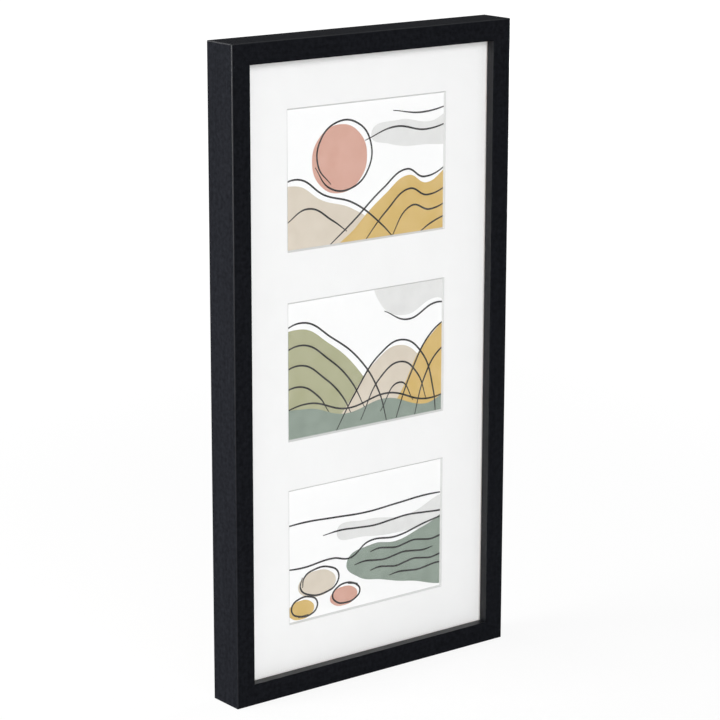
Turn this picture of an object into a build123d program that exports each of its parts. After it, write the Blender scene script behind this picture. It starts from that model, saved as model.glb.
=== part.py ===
from build123d import *
from math import radians, tan
import os

# Collage photo frame: a deep mitred wooden moulding that holds glass, a mat with three bevelled
# windows, three prints and a back board. Turn clips on the board swing into a groove in the moulding,
# and two strap hangers with loose rings carry the frame on a wall.
# Millimetres. X runs across the frame, Y from its front to the wall behind it, and Z is up. The origin
# lies under the middle of the frame, on the surface it stands on. Left and right are as seen from the front.

# Prints, and the mat that shows them
print_width = 180.0
print_height = 130.0
print_thickness = 0.25
print_cover_x = 12.5
print_cover_z = 10.5
mat_thickness = 1.4
mat_bevel = 1.4
mat_bar = 42.5
mat_border_x = 47.5
mat_border_z = 44.0
tape_width = 19.0
tape_reach = 8.0
tape_slope = 0.5
tape_thickness = 0.1
tape_from_middle = 55.0

# Glass and back board, both cut to the size of the mat
pane_play = 1.0
glass_thickness = 2.0
board_thickness = 3.0

# Moulding section
lip_width = 6.0
lip_depth = 8.5
wall = 11.0
frame_depth = 32.0
front_round = 1.0

# V-nails driven into the mitres from behind
nail_thickness = 0.8
nail_leg = 6.5
nail_height = 10.0
nail_sink = 0.5
nail_stack_gap = 0.2
nails_in_stack = 2

# Turn clips on the back board
clip_thickness = 1.0
clip_gap = 0.2
clip_tail_radius = 6.0
clip_tip_radius = 4.0
clip_pivot_inset = 12.5
clip_engagement = 3.0
clip_spacing = 260.0
groove_end_play = 1.0
groove_side_play = 0.3

# Rivets: those of the clips and those of the hangers
rivet_fit = 0.05
rivet_flare = 1.2
rivet_flare_angle = 90.0
clip_rivet_radius = 1.9
clip_rivet_head_radius = 4.2
clip_rivet_head_height = 1.0
clip_running_fit = 0.08
clip_head_gap = 0.15
hanger_rivet_radius = 1.6
hanger_rivet_head_radius = 3.4
hanger_rivet_head_height = 1.0

# Strap hangers and their rings
hanger_spacing = 120.0
hanger_drop = 72.0
strap_width = 10.0
strap_thickness = 1.0
strap_end_margin = 6.0
strap_end_flat = 2.0
strap_eye_slit = 0.8
ring_wire_radius = 1.0
ring_wire_sides = 8
ring_eye_play = 0.3
ring_end_play = 0.5
ring_corner_radius = 2.0
ring_side_length = 6.5
ring_rivet_gap = 1.2

# Sizes that follow across the frame and up it
print_names = ("top", "middle", "bottom")
window_width = print_width - 2 * print_cover_x
window_height = print_height - 2 * print_cover_z
window_pitch = window_height + mat_bar
windows_height = (len(print_names) - 1) * window_pitch + window_height
pane_width = window_width + 2 * mat_border_x
pane_height = windows_height + 2 * mat_border_z
rebate_width = pane_width + 2 * pane_play
rebate_height = pane_height + 2 * pane_play
frame_width = rebate_width + 2 * wall
frame_height = rebate_height + 2 * wall
face_width = lip_width + wall
middle_z = frame_height / 2
pane_top_z = middle_z + pane_height / 2
groove_depth = clip_engagement + groove_end_play
nail_inset = (wall - groove_depth - nail_thickness) / 2
clip_reach = clip_pivot_inset + clip_engagement

# Places that follow from the front face to the wall
front_y = -frame_depth / 2
rear_y = frame_depth / 2
glass_front_y = front_y + lip_depth
mat_front_y = glass_front_y + glass_thickness
print_front_y = mat_front_y + mat_thickness
print_back_y = print_front_y + print_thickness
board_front_y = print_back_y + tape_thickness
board_back_y = board_front_y + board_thickness
clip_front_y = board_back_y + clip_gap
clip_back_y = clip_front_y + clip_thickness
groove_front_y = clip_front_y - groove_side_play
groove_back_y = clip_back_y + groove_side_play
clip_head_y = clip_back_y + clip_head_gap
strap_back_y = board_back_y + strap_thickness
rivet_flare_depth = rivet_flare / tan(radians(rivet_flare_angle / 2))

# Sizes of the hangers that follow from their rings
ring_half_width = strap_width / 2 + ring_end_play + ring_corner_radius
ring_length = ring_side_length + ring_half_width
eye_inner_radius = ring_wire_radius + ring_eye_play
eye_outer_radius = eye_inner_radius + strap_thickness
eye_y = board_back_y + eye_outer_radius
eye_z = pane_top_z - hanger_drop
strap_rivet_drop = ring_length + ring_wire_radius + ring_rivet_gap + hanger_rivet_head_radius
strap_rivet_z = eye_z - strap_rivet_drop
strap_end_z = strap_rivet_z - strap_end_margin

to_wall = Vector(0, 1, 0)
right = Vector(1, 0, 0)
up = Vector(0, 0, 1)

print_heights = {
    name: middle_z + window_pitch * ((len(print_names) - 1) / 2 - row)
    for row, name in enumerate(print_names)
}

# Each clip's pivot on the back board, and the way its tip points when it is shut
pivot_x = rebate_width / 2 - clip_pivot_inset
pivot_rise = rebate_height / 2 - clip_pivot_inset
clip_seats = {
    "left_upper": ((-pivot_x, middle_z + clip_spacing / 2), -right),
    "left_lower": ((-pivot_x, middle_z - clip_spacing / 2), -right),
    "right_upper": ((pivot_x, middle_z + clip_spacing / 2), right),
    "right_lower": ((pivot_x, middle_z - clip_spacing / 2), right),
    "top": ((0, middle_z + pivot_rise), up),
    "bottom": ((0, middle_z - pivot_rise), -up),
}
clip_pivots = [pivot for pivot, outward in clip_seats.values()]
hanger_places = {"left": -hanger_spacing / 2, "right": hanger_spacing / 2}
hanger_rivet_places = [(x, strap_rivet_z) for x in hanger_places.values()]

os.makedirs("parts", exist_ok=True)


def at_depth(y):
    """Plane across the frame at depth y, with X and Z as its own axes, that faces the front."""
    return Plane.XZ.offset(-y)


def finish_piece(part, name):
    """Label a finished piece and write it."""
    part.label = name
    export_step(part, f"parts/{name}.step")


def make_nail_outlines():
    """The V-nail's outline at each corner of the frame, one leg along each moulding."""
    inner = nail_inset + nail_thickness
    end = nail_inset + nail_leg
    outline = [
        (nail_inset, nail_inset),
        (end, nail_inset),
        (end, inner),
        (inner, inner),
        (inner, end),
        (nail_inset, end),
    ]
    with BuildSketch() as outlines:
        for side in (-1, 1):
            for level in (-1, 1):
                corner_x = side * frame_width / 2
                corner_z = middle_z + level * frame_height / 2
                with BuildLine():
                    Polyline(*[(corner_x - side * a, corner_z - level * b) for a, b in outline], close=True)
                make_face()
    return outlines.sketch


nail_outlines = make_nail_outlines()


def make_moulding(inward, outer_middle, length):
    """One length of moulding: a rebated and grooved section, mitred at both ends.

    The section lies across the middle of the length. Its x axis runs inward from the outer face and
    its y axis from the front face to the wall.
    """
    along = inward.cross(to_wall)
    inner_wall = wall - groove_depth
    with BuildPart() as bar:
        with BuildSketch(Plane(origin=outer_middle, x_dir=inward, z_dir=along)) as section:
            with BuildLine():
                Polyline(
                    (0, 0),
                    (face_width, 0),
                    (face_width, lip_depth),
                    (wall, lip_depth),
                    (wall, groove_front_y - front_y),
                    (inner_wall, groove_front_y - front_y),
                    (inner_wall, groove_back_y - front_y),
                    (wall, groove_back_y - front_y),
                    (wall, frame_depth),
                    (0, frame_depth),
                    close=True,
                )
            make_face()
            fillet(section.vertices().group_by(Axis.Y)[0], radius=front_round)
        extrude(amount=length / 2, both=True)
        for end in (-1, 1):
            outer_corner = outer_middle + along * (end * length / 2)
            split(bisect_by=Plane(origin=outer_corner, z_dir=along * -end - inward), keep=Keep.TOP)
        with BuildSketch(at_depth(rear_y)):
            add(nail_outlines)
        nail_pocket = nail_sink + nails_in_stack * (nail_height + nail_stack_gap) - nail_stack_gap
        extrude(amount=nail_pocket, mode=Mode.SUBTRACT)
    return bar.part


def make_rivets(places, seat_y, shank_radius, head_radius, head_height):
    """Rivets through the back board: a head behind seat_y and an end flared flush with the board's front."""
    with BuildPart() as rivets:
        with BuildSketch(at_depth(seat_y + head_height)):
            with Locations(*places):
                Circle(head_radius)
        extrude(amount=head_height)
        with BuildSketch(at_depth(seat_y)):
            with Locations(*places):
                Circle(shank_radius)
        extrude(amount=seat_y - board_front_y)
        with BuildSketch(at_depth(board_front_y)):
            with Locations(*places):
                Circle(shank_radius + rivet_flare)
        extrude(amount=-rivet_flare_depth, taper=rivet_flare_angle / 2)
    return rivets.part


# Four mitred lengths of moulding: the way each faces in, the middle of its outer front edge, its length
moulding_seats = {
    "left": (right, Vector(-frame_width / 2, front_y, middle_z), frame_height),
    "right": (-right, Vector(frame_width / 2, front_y, middle_z), frame_height),
    "top": (-up, Vector(0, front_y, frame_height), frame_width),
    "bottom": (up, Vector(0, front_y, 0), frame_width),
}
for name, (inward, outer_middle, length) in moulding_seats.items():
    finish_piece(make_moulding(inward, outer_middle, length), f"moulding_{name}")

# V-nails, stacked one behind the other in each mitre
with BuildPart() as corner_v_nails:
    for level in range(nails_in_stack):
        nail_back_y = rear_y - nail_sink - level * (nail_height + nail_stack_gap)
        with BuildSketch(at_depth(nail_back_y)):
            add(nail_outlines)
        extrude(amount=nail_height)
finish_piece(corner_v_nails.part, "corner_v_nails")

# Glass against the back of the lip
with BuildPart() as glass_pane:
    with BuildSketch(at_depth(mat_front_y)):
        with Locations((0, middle_z)):
            Rectangle(pane_width, pane_height)
    extrude(amount=glass_thickness)
finish_piece(glass_pane.part, "glass_pane")

# Mat with three windows, each cut on a bevel that opens towards the glass
with BuildPart() as mat_board:
    with BuildSketch(at_depth(print_front_y)):
        with Locations((0, middle_z)):
            Rectangle(pane_width, pane_height)
    extrude(amount=mat_thickness)
    for window_z in print_heights.values():
        with BuildSketch(at_depth(print_front_y)):
            with Locations((0, window_z)):
                Rectangle(window_width, window_height)
        with BuildSketch(at_depth(mat_front_y)):
            with Locations((0, window_z)):
                Rectangle(window_width + 2 * mat_bevel, window_height + 2 * mat_bevel)
        loft(mode=Mode.SUBTRACT)
finish_piece(mat_board.part, "mat_board")

# Prints behind the windows
for name, print_z in print_heights.items():
    with BuildPart() as photo_print:
        with BuildSketch(at_depth(print_back_y)):
            with Locations((0, print_z)):
                Rectangle(print_width, print_height)
        extrude(amount=print_thickness)
    finish_piece(photo_print.part, f"photo_print_{name}")

# Tape from the back of each print's top edge down on to the back of the mat
with BuildPart() as print_tape:
    for print_z in print_heights.values():
        edge_z = print_z + print_height / 2
        for tape_x in (-tape_from_middle, tape_from_middle):
            with BuildSketch(Plane.YZ.offset(tape_x)):
                with BuildLine():
                    Polyline(
                        (print_back_y, edge_z - tape_reach),
                        (print_back_y, edge_z),
                        (print_front_y, edge_z + tape_slope),
                        (print_front_y, edge_z + tape_reach),
                        (print_front_y + tape_thickness, edge_z + tape_reach),
                        (print_front_y + tape_thickness, edge_z + tape_slope),
                        (print_back_y + tape_thickness, edge_z),
                        (print_back_y + tape_thickness, edge_z - tape_reach),
                        close=True,
                    )
                make_face()
            extrude(amount=tape_width / 2, both=True)
finish_piece(print_tape.part, "print_tape")

# Back board, bored for the rivets and countersunk at its front for their flared ends
with BuildPart() as back_board:
    with BuildSketch(at_depth(board_back_y)):
        with Locations((0, middle_z)):
            Rectangle(pane_width, pane_height)
    extrude(amount=board_thickness)
    with Locations(at_depth(board_front_y)):
        with Locations(*clip_pivots):
            CounterSinkHole(
                radius=clip_rivet_radius + rivet_fit,
                counter_sink_radius=clip_rivet_radius + rivet_flare + rivet_fit,
                counter_sink_angle=rivet_flare_angle,
            )
        with Locations(*hanger_rivet_places):
            CounterSinkHole(
                radius=hanger_rivet_radius + rivet_fit,
                counter_sink_radius=hanger_rivet_radius + rivet_flare + rivet_fit,
                counter_sink_angle=rivet_flare_angle,
            )
finish_piece(back_board.part, "back_board")

# Turn clips, shut, with their tips in the moulding's groove
for name, (pivot, outward) in clip_seats.items():
    pivot_point = Vector(pivot[0], clip_back_y, pivot[1])
    with BuildPart() as turn_clip:
        with BuildSketch(Plane(origin=pivot_point, x_dir=outward, z_dir=-to_wall)):
            Circle(clip_tail_radius)
            with Locations((clip_reach - clip_tip_radius, 0)):
                Circle(clip_tip_radius)
            make_hull()
            Circle(clip_rivet_radius + clip_running_fit, mode=Mode.SUBTRACT)
        extrude(amount=clip_thickness)
    finish_piece(turn_clip.part, f"turn_clip_{name}")

# Rivets that the clips turn on, and rivets that hold the hangers
clip_rivets = make_rivets(
    clip_pivots,
    clip_head_y,
    clip_rivet_radius,
    clip_rivet_head_radius,
    clip_rivet_head_height,
)
finish_piece(clip_rivets, "clip_rivets")
hanger_rivets = make_rivets(
    hanger_rivet_places,
    strap_back_y,
    hanger_rivet_radius,
    hanger_rivet_head_radius,
    hanger_rivet_head_height,
)
finish_piece(hanger_rivets, "hanger_rivets")

for name, hanger_x in hanger_places.items():
    # Strap: a strip rolled into an eye at its top, flat on the back board below
    with BuildPart() as hanger_strap:
        with BuildSketch(Plane.YZ.offset(hanger_x)):
            with Locations((eye_y, eye_z)):
                Circle(eye_outer_radius)
            with Locations((board_back_y, strap_end_z)):
                Rectangle(strap_thickness, eye_z - strap_end_z, align=(Align.MIN, Align.MIN))
            with Locations((eye_y, eye_z)):
                Circle(eye_inner_radius, mode=Mode.SUBTRACT)
            with Locations((strap_back_y, eye_z)):
                Rectangle(strap_eye_slit, eye_outer_radius, align=(Align.MIN, Align.MAX), mode=Mode.SUBTRACT)
        extrude(amount=strap_width / 2, both=True)
        end_corners = hanger_strap.edges().filter_by(Axis.Y).group_by(Axis.Z)[0]
        fillet(end_corners, radius=(strap_width - strap_end_flat) / 2)
        with Locations(at_depth(strap_back_y)):
            with Locations((hanger_x, strap_rivet_z)):
                Hole(radius=hanger_rivet_radius + rivet_fit)
    finish_piece(hanger_strap.part, f"hanger_strap_{name}")

    # Ring: a wire bent to a D and hanging down, its straight bar round in the strap's eye
    with BuildPart() as hanger_ring:
        bar_end = ring_half_width - ring_corner_radius
        with BuildSketch(Plane.YZ.offset(hanger_x)):
            with Locations((eye_y, eye_z)):
                Circle(ring_wire_radius)
        extrude(amount=bar_end, both=True)
        with BuildLine(Plane(origin=(hanger_x, eye_y, eye_z), x_dir=right, z_dir=-to_wall)) as wire:
            right_corner = JernArc((bar_end, 0), (1, 0), ring_corner_radius, -90)
            right_side = Line(right_corner @ 1, (ring_half_width, -ring_side_length))
            bow = JernArc(right_side @ 1, (0, -1), ring_half_width, -180)
            left_side = Line(bow @ 1, (-ring_half_width, -ring_corner_radius))
            JernArc(left_side @ 1, (0, 1), ring_corner_radius, -90)
        with BuildSketch(Plane(origin=wire.line @ 0, z_dir=wire.line % 0)):
            RegularPolygon(ring_wire_radius, ring_wire_sides)
        sweep()
    finish_piece(hanger_ring.part, f"hanger_ring_{name}")
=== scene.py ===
"""Looks of a collage photo frame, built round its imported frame.

Metres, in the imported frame's own axes: X runs across the frame, Y from its front to the wall behind it,
and Z is up. Left and right are as seen from the front.
"""

from __future__ import annotations

import logging
import math
from contextlib import contextmanager
from dataclasses import dataclass
from enum import Enum
from functools import lru_cache, reduce
from typing import Any, Callable, Iterator, Protocol, Sequence, Union

import bmesh
import bpy
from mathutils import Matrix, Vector


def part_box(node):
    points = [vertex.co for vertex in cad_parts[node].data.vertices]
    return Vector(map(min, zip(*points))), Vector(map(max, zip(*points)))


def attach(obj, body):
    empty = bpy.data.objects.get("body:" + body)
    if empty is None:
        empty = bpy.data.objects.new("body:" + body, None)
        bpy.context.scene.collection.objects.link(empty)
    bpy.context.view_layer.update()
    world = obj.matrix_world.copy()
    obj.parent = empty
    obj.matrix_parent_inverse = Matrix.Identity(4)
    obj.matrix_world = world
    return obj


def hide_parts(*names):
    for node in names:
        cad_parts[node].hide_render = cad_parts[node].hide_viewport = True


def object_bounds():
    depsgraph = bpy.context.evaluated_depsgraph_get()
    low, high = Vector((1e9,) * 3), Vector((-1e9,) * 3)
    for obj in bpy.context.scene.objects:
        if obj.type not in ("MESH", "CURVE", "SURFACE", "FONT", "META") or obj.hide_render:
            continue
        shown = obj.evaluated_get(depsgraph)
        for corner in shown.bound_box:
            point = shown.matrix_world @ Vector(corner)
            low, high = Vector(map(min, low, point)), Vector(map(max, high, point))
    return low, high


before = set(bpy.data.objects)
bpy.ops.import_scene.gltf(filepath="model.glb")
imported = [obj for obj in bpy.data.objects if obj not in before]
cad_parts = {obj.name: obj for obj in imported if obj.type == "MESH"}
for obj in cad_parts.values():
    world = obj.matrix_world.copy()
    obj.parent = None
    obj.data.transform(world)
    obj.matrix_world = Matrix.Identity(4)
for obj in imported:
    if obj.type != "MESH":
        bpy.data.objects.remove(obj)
CAD_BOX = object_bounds()

MM = 0.001
BODY = "frame"
FRONT = Vector((0.0, -1.0, 0.0))
# The turn that stands a flat shape up, to face the front.
STOOD_UP = (math.pi / 2, 0.0, 0.0)
WHITE = (1.0, 1.0, 1.0, 1.0)

log = logging.getLogger("photo_frame")

Colour = tuple[float, float, float, float]
Triple = tuple[float, float, float]
Outline = Sequence[tuple[float, float]]
Piece = bpy.types.Object


def srgb(red: int, green: int, blue: int) -> Colour:
    """Turns a colour as a screen shows it into the linear light that a shader takes.

    Args:
        red: Its red, from 0 to 255.
        green: Its green.
        blue: Its blue.

    Returns:
        The linear colour, opaque.
    """
    def linear(step: int) -> float:
        """One channel, by the screens' standard curve."""
        share = step / 255
        return share / 12.92 if share <= 0.04045 else ((share + 0.055) / 1.055) ** 2.4

    return (linear(red), linear(green), linear(blue), 1.0)


class Part(Enum):
    """What a selection in edit mode picks."""

    VERTS = "VERT"
    EDGES = "EDGE"
    FACES = "FACE"


class Grain(Enum):
    """The way a moulding's grain runs: along the axis that has the small share."""

    UPRIGHT = (1.0, 1.0, 0.02)
    LEVEL = (0.02, 1.0, 1.0)


class Ink(Enum):
    """Printing inks, as they look on white paper."""

    ROSE = srgb(214, 166, 150)
    OCHRE = srgb(212, 180, 110)
    SAND = srgb(218, 207, 191)
    SAGE = srgb(172, 172, 138)
    SLATE = srgb(139, 152, 141)
    MIST = srgb(229, 229, 228)
    BLACK = srgb(30, 29, 30)


class Value:
    """A value on its way through a material. Arithmetic on it adds Math nodes."""

    def __init__(self, recipe: Recipe, socket: bpy.types.NodeSocket) -> None:
        """Wraps an output socket of a recipe's node."""
        self.recipe = recipe
        self.socket = socket

    def _math(self, operation: str, *numbers: Number) -> Value:
        """Adds one Math node over these numbers."""
        node = self.recipe.node("ShaderNodeMath", {"operation": operation}, dict(enumerate(numbers)))
        return self.recipe.value(node)

    def __add__(self, other: Number) -> Value:
        """self + other."""
        return self._math("ADD", self, other)

    __radd__ = __add__

    def __sub__(self, other: Number) -> Value:
        """self - other."""
        return self._math("SUBTRACT", self, other)

    def __rsub__(self, other: Number) -> Value:
        """other - self."""
        return self._math("SUBTRACT", other, self)

    def __mul__(self, other: Number) -> Value:
        """self * other."""
        return self._math("MULTIPLY", self, other)

    __rmul__ = __mul__

    def __abs__(self) -> Value:
        """abs(self)."""
        return self._math("ABSOLUTE", self)

    def least(self, other: Number) -> Value:
        """The smaller of the two."""
        return self._math("MINIMUM", self, other)

    def most(self, other: Number) -> Value:
        """The larger of the two."""
        return self._math("MAXIMUM", self, other)


Number = Union[float, Value]


@dataclass(frozen=True)
class Speckle:
    """Cloudy noise: its grains in a metre, how many finer layers it has, and how strong they are."""

    grains: float
    layers: float = 3.0
    strength: float = 0.5


class Recipe:
    """One material while its nodes are laid out."""

    # A Mix node's sockets for colours share their names with others, so they are counted.
    MIX_FIRST = 6
    MIX_SECOND = 7
    MIX_RESULT = 2

    def __init__(self, name: str, owner: Any = None) -> None:
        """Starts with no nodes.

        Args:
            name: What a new material is called.
            owner: What gets the nodes in place of a new material, such as the world.
        """
        self.owner = owner or bpy.data.materials.new(name)
        self.owner.use_nodes = True
        self.tree = self.owner.node_tree
        self.tree.nodes.clear()

    def value(self, node: bpy.types.Node, output: str | int = 0) -> Value:
        """Wraps one output of a node."""
        return Value(self, node.outputs[output])

    def node(
        self,
        kind: str,
        settings: dict[str, Any] | None = None,
        sockets: dict[str | int, Any] | None = None,
    ) -> bpy.types.Node:
        """Adds a node.

        Args:
            kind: The node's type.
            settings: Its properties, which are set first.
            sockets: A value or a link for each input that is named or counted.

        Returns:
            The new node.
        """
        added = self.tree.nodes.new(kind)
        for name, setting in (settings or {}).items():
            setattr(added, name, setting)
        for name, fed in (sockets or {}).items():
            if isinstance(fed, Value):
                self.tree.links.new(fed.socket, added.inputs[name])
            else:
                added.inputs[name].default_value = fed
        return added

    def place(self) -> Value:
        """The point of the surface, in the frame's own axes."""
        return self.value(self.node("ShaderNodeTexCoord"), "Object")

    def axes(self, vector: Value) -> tuple[Value, Value, Value]:
        """The three shares of a vector."""
        node = self.node("ShaderNodeSeparateXYZ", sockets={0: vector})
        return self.value(node, 0), self.value(node, 1), self.value(node, 2)

    def facing(self) -> tuple[Value, Value, Value]:
        """The three shares of the surface's normal."""
        return self.axes(self.value(self.node("ShaderNodeNewGeometry"), "True Normal"))

    def stretch(self, vector: Value, shares: Triple) -> Value:
        """Scales a vector along each axis."""
        sockets = {0: vector, 1: shares}
        return self.value(self.node("ShaderNodeVectorMath", {"operation": "MULTIPLY"}, sockets))

    def noise(self, vector: Value, speckle: Speckle) -> Value:
        """Cloudy noise over a vector, from 0 to 1."""
        cloud = {"Scale": speckle.grains, "Detail": speckle.layers, "Roughness": speckle.strength}
        return self.value(self.node("ShaderNodeTexNoise", sockets={"Vector": vector} | cloud))

    def ease(self, value: Value, low: float, high: float) -> Value:
        """Rises smoothly from 0 at low to 1 at high."""
        sockets = {"Value": value, "From Min": low, "From Max": high}
        return self.value(self.node("ShaderNodeMapRange", {"interpolation_type": "SMOOTHSTEP"}, sockets))

    def mix(self, share: Number, first: Colour | Value, second: Colour | Value) -> Value:
        """Goes from the first colour to the second."""
        sockets = {0: share, self.MIX_FIRST: first, self.MIX_SECOND: second}
        return self.value(self.node("ShaderNodeMix", {"data_type": "RGBA"}, sockets), self.MIX_RESULT)

    def tones(self, noise: Value, first: Colour, second: Colour, spread: float = 0.2) -> Value:
        """Goes from the first colour to the second over noise that lies within spread of a half."""
        return self.mix(self.ease(noise, 0.5 - spread, 0.5 + spread), first, second)

    def relief(self, height: Value, depth: float, strength: float) -> Value:
        """A normal that follows a height, where 1 is as high as depth and strength says how much shows."""
        sockets = {"Height": height, "Distance": depth, "Strength": strength}
        return self.value(self.node("ShaderNodeBump", sockets=sockets))

    def rays(self, *kinds: str) -> Value:
        """1 for rays of these kinds and 0 for all others."""
        path = self.node("ShaderNodeLightPath")
        return reduce(Value.most, (self.value(path, f"Is {kind} Ray") for kind in kinds))

    def seen(self) -> Value:
        """1 for what the camera sees, also in a reflection or through glass, and 0 for light on things."""
        return self.rays("Camera", "Glossy", "Transmission")

    def either(self, share: Value, first: bpy.types.Node, second: bpy.types.Node) -> bpy.types.Node:
        """Shows the first shader where the share is 0 and the second where it is 1."""
        sockets = {0: share, 1: self.value(first), 2: self.value(second)}
        return self.node("ShaderNodeMixShader", sockets=sockets)

    def surface(self, shader: bpy.types.Node) -> Any:
        """Puts a shader on the surface.

        Args:
            shader: The last node before the output.

        Returns:
            The finished material or world.
        """
        in_world = isinstance(self.owner, bpy.types.World)
        kind = "ShaderNodeOutputWorld" if in_world else "ShaderNodeOutputMaterial"
        self.node(kind, sockets={"Surface": self.value(shader)})
        return self.owner

    def finish(self, **sockets: Any) -> bpy.types.Material:
        """Puts a Principled shader on the surface, with underscores for the spaces in its sockets' names."""
        named = {name.replace("_", " "): fed for name, fed in sockets.items()}
        return self.surface(self.node("ShaderNodeBsdfPrincipled", sockets=named))


class Finish(Protocol):
    """What dresses a surface."""

    def make(self) -> bpy.types.Material:
        """Lays out the material's nodes.

        Returns:
            The material.
        """


@lru_cache(maxsize=None)
def made(finish: Finish) -> bpy.types.Material:
    """The finish's material, made once."""
    return finish.make()


@dataclass(frozen=True)
class BlackWood:
    """Black stained moulding, rubbed along its edges, with bare fibre in the rebate and on most of the rear.

    The stain wraps round the rear edges and ends there in a ragged line. The edges are rubbed for the width
    worn, more and more between two shares of the frame's height, and the sight edge has a gloss of its own.
    """

    grain: Grain
    sizes: Sizes
    wear: float
    wrap: float = 4.0 * MM
    ragged: float = 1.2 * MM
    blur: float = 0.1 * MM
    worn: float = 0.9 * MM
    rubbed_from: float = 0.2
    rubbed_to: float = 0.9
    sight_gloss: float = 0.58
    depth: float = 0.03 * MM
    dark: Colour = (0.0038, 0.00415, 0.0054, 1.0)
    light: Colour = (0.0110, 0.0119, 0.0149, 1.0)
    fibre_dark: Colour = srgb(112, 82, 56)
    fibre_light: Colour = srgb(158, 123, 88)
    pores: Speckle = Speckle(1500.0, 4.0, 0.6)
    streaks: Speckle = Speckle(260.0)
    mottle: Speckle = Speckle(300.0, 4.0, 0.6)
    handling: Speckle = Speckle(18.0, 2.0)
    tears: Speckle = Speckle(300.0)
    fibres: Speckle = Speckle(2600.0, 5.0, 0.75)
    clouds: Speckle = Speckle(140.0, 2.0)

    def make(self) -> bpy.types.Material:
        """Lays out the material's nodes.

        Returns:
            The material.
        """
        recipe = Recipe(f"black_wood_{self.grain.name.lower()}")
        sizes = self.sizes
        place = recipe.place()
        along = recipe.stretch(place, self.grain.value)
        pores = recipe.noise(along, self.pores)
        streaks = recipe.noise(along, self.streaks)
        stain = pores * 0.25 + streaks * 0.15 + recipe.noise(place, self.mottle) * 0.6
        fibres = recipe.noise(place, self.fibres)
        board = fibres * 0.75 + recipe.noise(place, self.clouds) * 0.25

        # Bare fibre shows behind the lip, further in than the stain wraps round the rear edges.
        across, depth, rise = recipe.axes(place)
        from_side = sizes.half_width - abs(across)
        from_end = rise.least(sizes.height - rise)
        inward = from_side.least(from_end)
        ragged = (recipe.noise(place, self.tears) - 0.5) * self.ragged
        bare = recipe.ease(inward + ragged, self.wrap - self.blur, self.wrap + self.blur)
        bare = bare * recipe.ease(depth, sizes.lip_back - 2 * self.blur, sizes.lip_back)

        # Handling has rubbed the edges, unevenly.
        handling = recipe.noise(place, self.handling)
        edge = inward.most(depth - sizes.front).least(from_side.most(from_end))
        raised = recipe.ease(rise, sizes.height * self.rubbed_from, sizes.height * self.rubbed_to)
        rubbed = recipe.ease(edge + ragged * 0.15, self.worn, self.worn * 0.6)
        rubbed = rubbed * (0.5 + handling) * (0.3 + raised * 0.8) * self.wear
        sight = recipe.ease(inward, sizes.face - self.blur, sizes.face - 0.1 * self.blur)

        black = recipe.tones(stain, self.dark, self.light, spread=0.23)
        fibre = recipe.tones(board, self.fibre_dark, self.fibre_light, spread=0.18)
        return recipe.finish(
            Base_Color=recipe.mix(bare, black, fibre),
            Roughness=0.84 + pores * 0.1 + handling * 0.06,
            Specular_IOR_Level=0.022,
            Coat_Weight=rubbed.most(sight * self.sight_gloss) * (1 - bare),
            Coat_Roughness=0.3,
            Normal=recipe.relief(pores * (1 - bare) + fibres * bare, self.depth, strength=0.4),
        )


@dataclass(frozen=True)
class MatCard:
    """White mat card with a fine tooth, and a darker grey on the faces where a bevel cuts it: painted shade
    on the bevels.

    How squarely a face looks to the front or the back tells the card's face from a cut.
    """

    face: Colour = (0.926, 0.924, 0.925, 1.0)
    shade: Colour = (0.901, 0.899, 0.900, 1.0)
    # The grey of the bevel faces is painted shade, darker than the card's face.
    bevel_shade: Colour = (0.68, 0.68, 0.675, 1.0)
    square: float = 0.95
    slanted: float = 0.80
    depth: float = 0.02 * MM
    tooth: Speckle = Speckle(1800.0, 3.0, 0.6)
    clouds: Speckle = Speckle(35.0, 2.0)

    def make(self) -> bpy.types.Material:
        """Lays out the material's nodes.

        Returns:
            The material.
        """
        recipe = Recipe("mat_card")
        place = recipe.place()
        tooth = recipe.noise(place, self.tooth)
        clouds = recipe.noise(place, self.clouds)
        face = recipe.tones(tooth * 0.6 + clouds * 0.4, self.shade, self.face)
        # The bevel faces get the darker grey here: painted shade, standing in for the shade that falls on
        # the bevels.
        cut = recipe.ease(abs(recipe.facing()[1]), self.square, self.slanted)
        return recipe.finish(
            Base_Color=recipe.mix(cut, face, self.bevel_shade),
            Roughness=0.86 + tooth * 0.1,
            Specular_IOR_Level=0.2,
            Normal=recipe.relief(tooth, self.depth, strength=0.5),
        )


@dataclass(frozen=True)
class PrintPaper:
    """Smooth bright print paper."""

    bright: Colour = (0.971, 0.969, 0.970, 1.0)
    shade: Colour = (0.952, 0.951, 0.953, 1.0)
    depth: float = 0.01 * MM
    fibres: Speckle = Speckle(2400.0)
    clouds: Speckle = Speckle(60.0, 2.0)

    def make(self) -> bpy.types.Material:
        """Lays out the material's nodes.

        Returns:
            The material.
        """
        recipe = Recipe("print_paper")
        place = recipe.place()
        fibres = recipe.noise(place, self.fibres)
        clouds = recipe.noise(place, self.clouds)
        return recipe.finish(
            Base_Color=recipe.tones(fibres * 0.5 + clouds * 0.5, self.shade, self.bright),
            Roughness=0.5 + fibres * 0.12,
            Specular_IOR_Level=0.25,
            Normal=recipe.relief(fibres, self.depth, strength=0.4),
        )


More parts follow.
